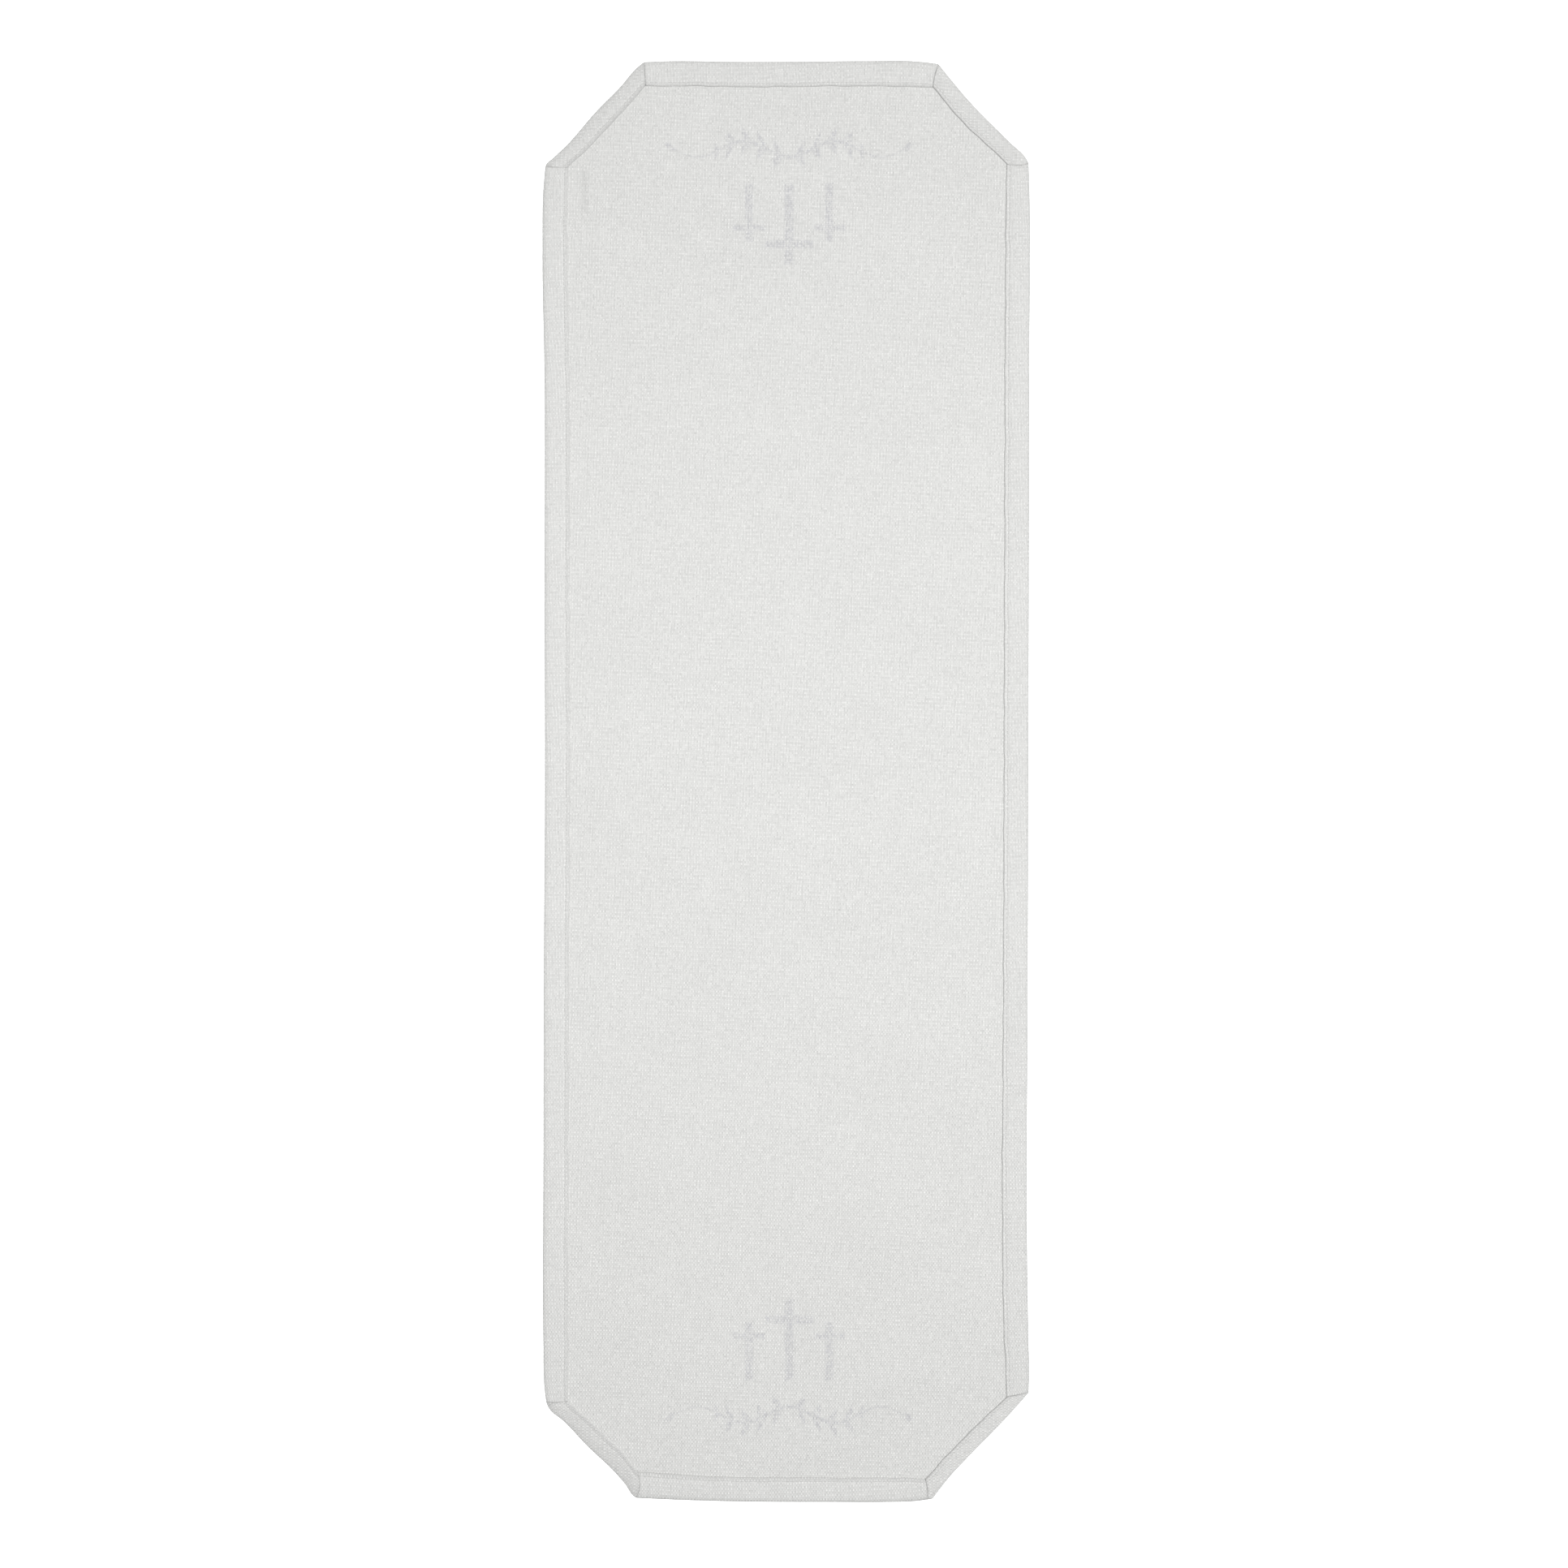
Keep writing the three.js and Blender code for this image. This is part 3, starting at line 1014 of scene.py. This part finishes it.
def blotches(shader, cloth):
    """Large faint patches that are a little lighter or darker, and smaller ones in them."""
    tone = 1.0
    for width, length, difference in BLOTCHES:
        patches = shader.noise(shader.vector("MULTIPLY", cloth, (1 / width, 1 / length, 1)))
        tone = shader.math("MULTIPLY_ADD", shader.math("SUBTRACT", patches, 0.5), difference, tone)
    return tone


def flecks(shader, cloth):
    """Rare tiny dark bits of husk in the yarn."""
    spots = shader.noise(shader.vector("MULTIPLY", cloth, (0.55, 0.7, 1)), 0.0)
    return shader.between(spots, *FLECK_LEVELS, 1.0, FLECK_TONE)


def cloth_material(name):
    """The panel: a weave with the print strong on its face and faint on its back."""
    shader = Shader(name)
    cloth, height, tone = weave(shader)
    tone = shader.math("MULTIPLY", tone, blotches(shader, cloth))
    tone = shader.math("MULTIPLY", tone, flecks(shader, cloth))
    x, y, _ = shader.split(cloth)
    middle, half, soft, darkness = DARK_PATCH
    dark_patch = box_mask(shader, x, y, middle, half, soft)
    tone = shader.math("MULTIPLY", tone, shader.math("MULTIPLY_ADD", dark_patch, -darkness, 1.0))
    plain = shader.scaled(CLOTH_COLOUR, tone)
    showing = shader.math("ADD", shader.crossing_noise(cloth)[0], PRINT_SHOWS)
    showing = shader.math("MULTIPLY_ADD", height, -THREADS_HIDE, showing)
    ghost = shader.math("MULTIPLY", print_mask(shader, cloth, BACK_SOFTNESS), showing)
    back = shader.mixed(ghost, plain, shader.scaled(GHOST_COLOUR, tone))
    print_on_face = print_mask(shader, cloth, FACE_SOFTNESS)
    inked = shader.mixed(print_on_face, plain, shader.scaled(INK_COLOUR, tone))
    colour = shader.mixed(shader.attribute("face_side", "Fac"), back, inked)
    shader.put(shader.surface.inputs["Base Color"], colour)
    shader.raise_surface(height, RELIEF, RELIEF_STRENGTH)
    cloth_finish(shader, 0.08)
    return shader.material


def hem_material(name):
    """The hems: the same weave, a little lighter because nothing shows through three layers."""
    shader = Shader(name)
    cloth, height, tone = weave(shader)
    tone = shader.math("MULTIPLY", tone, blotches(shader, cloth))
    # The tone attribute holds each hem's painted light and shade: its own lightness as the light falls on
    # it, and painted shade along its outer fold, its free edge and its mitres.
    tone = shader.math("MULTIPLY", tone, shader.attribute("tone", "Fac"))
    shader.put(shader.surface.inputs["Base Color"], shader.scaled(HEM_COLOUR, tone))
    shader.raise_surface(height, RELIEF, RELIEF_STRENGTH)
    cloth_finish(shader, 0.08)
    return shader.material


def thread_material(name):
    """Twisted sewing thread."""
    shader = Shader(name)
    strands = shader.math("SINE", shader.attribute("twist", "Fac"))
    # The strands are painted lighter on their crowns and darker between them, painted light and shade that
    # follows their relief.
    tone = shader.math("MULTIPLY_ADD", strands, 0.07, 0.97)
    shader.put(shader.surface.inputs["Base Color"], shader.scaled(THREAD_COLOUR, tone))
    shader.raise_surface(strands, 0.00006, 0.8)
    cloth_finish(shader, 0.2, roughness=0.7)
    return shader.material


# ---- putting it together

# The bodies whose parts in the frame each piece stands for.
QUARTERS_OF = {"head": ("head_outer",), "mid": ("head_inner", "foot_inner"), "foot": ("foot_outer",)}


def bend_at_fold(piece):
    """Bakes the piece's place into its mesh."""
    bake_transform(piece)


def stands_for(nodes):
    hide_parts(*nodes)


def add_side(edge, hem_cloth, thread):
    """A long side's hem and stitches, in three pieces that part between the storage folds."""
    along = hem_rows(edge)
    level = edge.start[1] + along * (edge.end[1] - edge.start[1])
    limits = {"head": (SPLIT, FAR), "mid": (-SPLIT, SPLIT), "foot": (-FAR, -SPLIT)}
    added = {}
    for part, (low, high) in limits.items():
        here = (level > low - TOUCH) & (level < high + TOUCH)
        hem = hem_piece(edge, f"hem_{edge.name}_{part}", along[here], hem_cloth)
        stands_for([f"side_hem_{edge.name}_{quarter}" for quarter in QUARTERS_OF[part]])
        starts = stitch_starts(edge, *sorted((level_to_distance(edge, low), level_to_distance(edge, high))))
        row = stitch_piece(edge, f"stitches_{edge.name}_{part}", starts, thread)
        stands_for([f"side_thread_{edge.name}_{quarter}" for quarter in QUARTERS_OF[part]])
        added[part] = [hem, row]
        for piece in added[part]:
            bend_at_fold(piece)
    return added


def add_short(edge, hem_cloth, thread):
    """The hem and stitches of an end or a corner, which ride on one quarter."""
    kind = "corner" if edge.corner else "end"
    suffix = edge.name.replace("_end", "")
    hem = hem_piece(edge, f"hem_{kind}_{suffix}", hem_rows(edge), hem_cloth)
    stands_for([f"{kind}_hem_{suffix}"])
    row = stitch_piece(edge, f"stitches_{kind}_{suffix}", stitch_starts(edge, 0, edge.length), thread)
    stands_for([f"{kind}_thread_{suffix}"])
    for piece in (hem, row):
        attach(piece, "head_outer" if edge.name.startswith("head") else "foot_outer")
    return [hem, row]


def cut_area(edges, low, high):
    """The panel's area between two levels, in square metres."""
    levels = np.linspace(low, high, 2000)
    left, right = panel_sides(edges)
    return float(np.mean(right(levels) - left(levels)) * (high - low)) * MM * MM


def build_runner():
    edges = make_edges()
    hem_cloth = hem_material("hem_cloth")
    thread = thread_material("thread")
    trims = {"head": [], "mid": [], "foot": []}
    for edge in edges:
        if edge.name in ("left", "right"):
            for part, pieces in add_side(edge, hem_cloth, thread).items():
                trims[part] += pieces
        else:
            trims["head" if edge.name.startswith("head") else "foot"] += add_short(edge, hem_cloth, thread)
    add_panel(edges)


def add_panel(edges):
    cloth = cloth_material("cloth")
    limits = {"head": (SPLIT, None), "mid": (-SPLIT, SPLIT), "foot": (None, -SPLIT)}
    end = 2 * QUARTER
    for part, (low, high) in limits.items():
        piece = panel_piece(edges, f"cloth_{part}", low, high, cloth)
        stands_for([f"panel_{quarter}" for quarter in QUARTERS_OF[part]])
        bend_at_fold(piece)
        bottom = -end if low is None else low
        top = end if high is None else high
        cut_area(edges, bottom, top)


# ---- camera, floor and light

def add_camera():
    """Straight above the runner. The view is square and takes in a little more than the runner's length."""
    camera = bpy.data.objects.new("camera", bpy.data.cameras.new("camera"))
    camera.data.lens = 85
    camera.data.sensor_width = 36
    view_width = 0.990
    off_middle = -0.0013
    height = view_width * camera.data.lens / camera.data.sensor_width
    camera.location = (off_middle, off_middle, height)
    bpy.context.scene.collection.objects.link(camera)
    bpy.context.scene.camera = camera


def add_area_light(name, place, size, power):
    light = bpy.data.objects.new(name, bpy.data.lights.new(name, "AREA"))
    light.data.shape = "DISK"
    light.data.size = size
    light.data.energy = power
    light.location = place
    light.rotation_mode = "QUATERNION"
    light.rotation_quaternion = (-Vector(place)).to_track_quat("-Z", "Y")
    bpy.context.scene.collection.objects.link(light)


def add_studio():
    """A plain near-white floor under soft light that comes mostly from the right."""
    size = 20.0
    floor_glow = 0.4
    world_glow = 0.34
    below_runner = 0.0002
    mesh = bpy.data.meshes.new("floor")
    corners = [(-size, -size, 0), (size, -size, 0), (size, size, 0), (-size, size, 0)]
    mesh.from_pydata(corners, [], [(0, 1, 2, 3)])
    material = bpy.data.materials.new("floor")
    material.use_nodes = True
    surface = material.node_tree.nodes["Principled BSDF"]
    surface.inputs["Base Color"].default_value = (0.98, 0.98, 0.98, 1)
    surface.inputs["Roughness"].default_value = 0.9
    surface.inputs["Emission Color"].default_value = (1, 1, 1, 1)
    surface.inputs["Emission Strength"].default_value = floor_glow
    floor = finish_piece("floor", mesh, material)
    floor.location.z = -below_runner
    add_area_light("key", place=(3.16, 0.61, 3.98), size=1.53, power=153)
    add_area_light("top", place=(-0.045, 0.025, 1.25), size=0.5, power=10.2)
    world = bpy.data.worlds.new("studio")
    world.use_nodes = True
    background = world.node_tree.nodes["Background"]
    background.inputs["Color"].default_value = (1, 1, 1, 1)
    background.inputs["Strength"].default_value = world_glow
    bpy.context.scene.world = world
    bpy.context.scene.view_settings.view_transform = "Standard"


add_camera()
add_studio()
build_runner()
